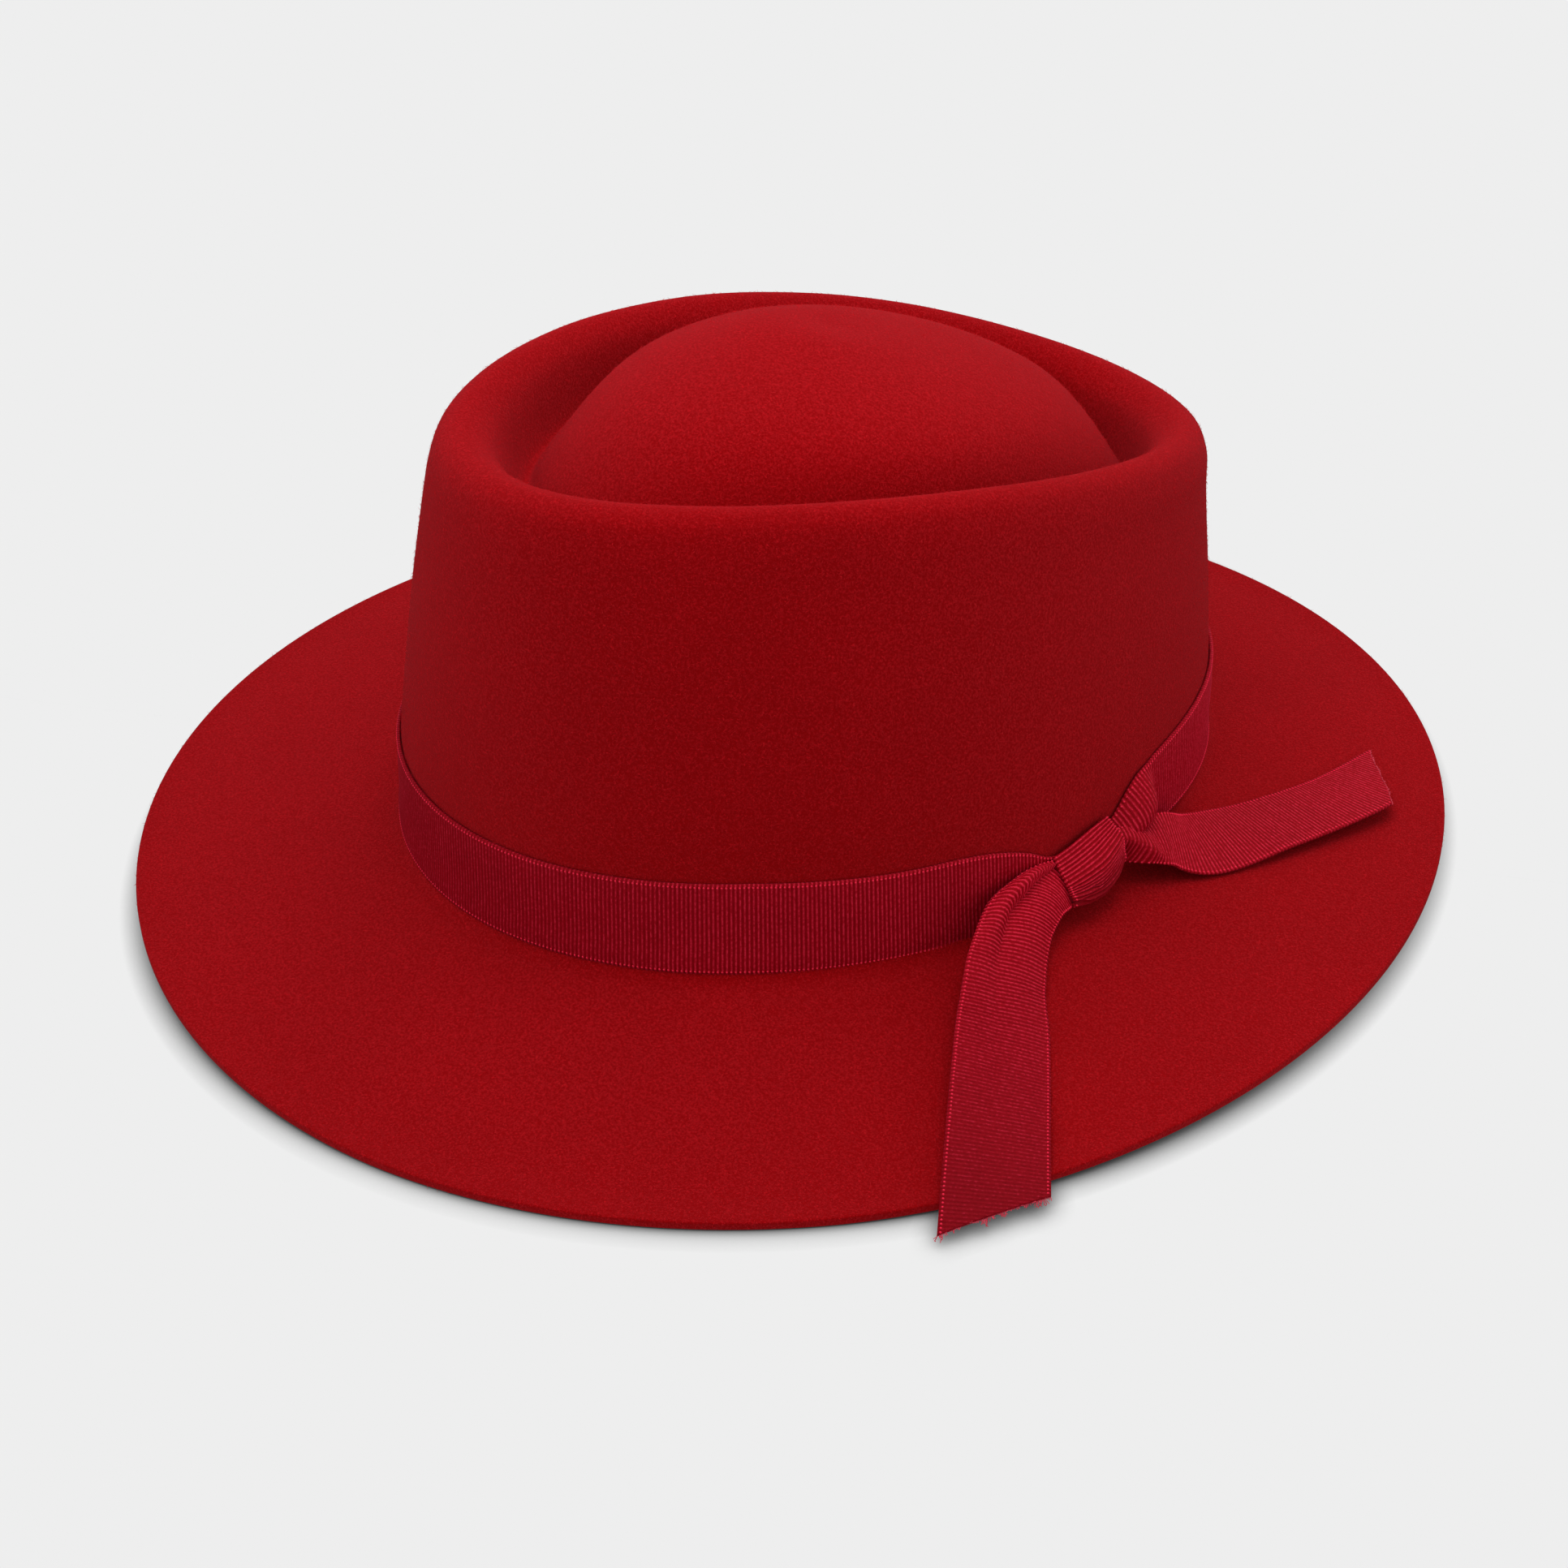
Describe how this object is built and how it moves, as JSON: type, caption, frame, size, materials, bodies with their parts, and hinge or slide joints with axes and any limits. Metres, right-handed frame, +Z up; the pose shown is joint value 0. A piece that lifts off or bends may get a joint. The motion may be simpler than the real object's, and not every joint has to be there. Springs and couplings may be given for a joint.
{
  "type": "felt hat with a telescope crown",
  "caption": "Wide-brimmed red felt hat with a telescope crown and a knotted grosgrain ribbon, standing on its brim, open below for the head.",
  "frame": {"origin": "on the surface the hat rests on, under the middle of the brim", "axes": "+Z up through the crown, -Y towards the hat's front, +X towards the wearer's left, where the ribbon is knotted"},
  "size_m": [0.2988, 0.322, 0.1242],
  "materials": {
    "felt": "deep red wool felt, matt, with a fine short nap",
    "ribbon": "crimson grosgrain ribbon, finely ribbed, with a slight sheen"
  },
  "bodies": {
    "root": {"felt_body": "felt", "ribbon_band": "ribbon", "ribbon_knot": "ribbon", "tail_front": "ribbon", "tail_back": "ribbon"}
  },
  "joints": []
}
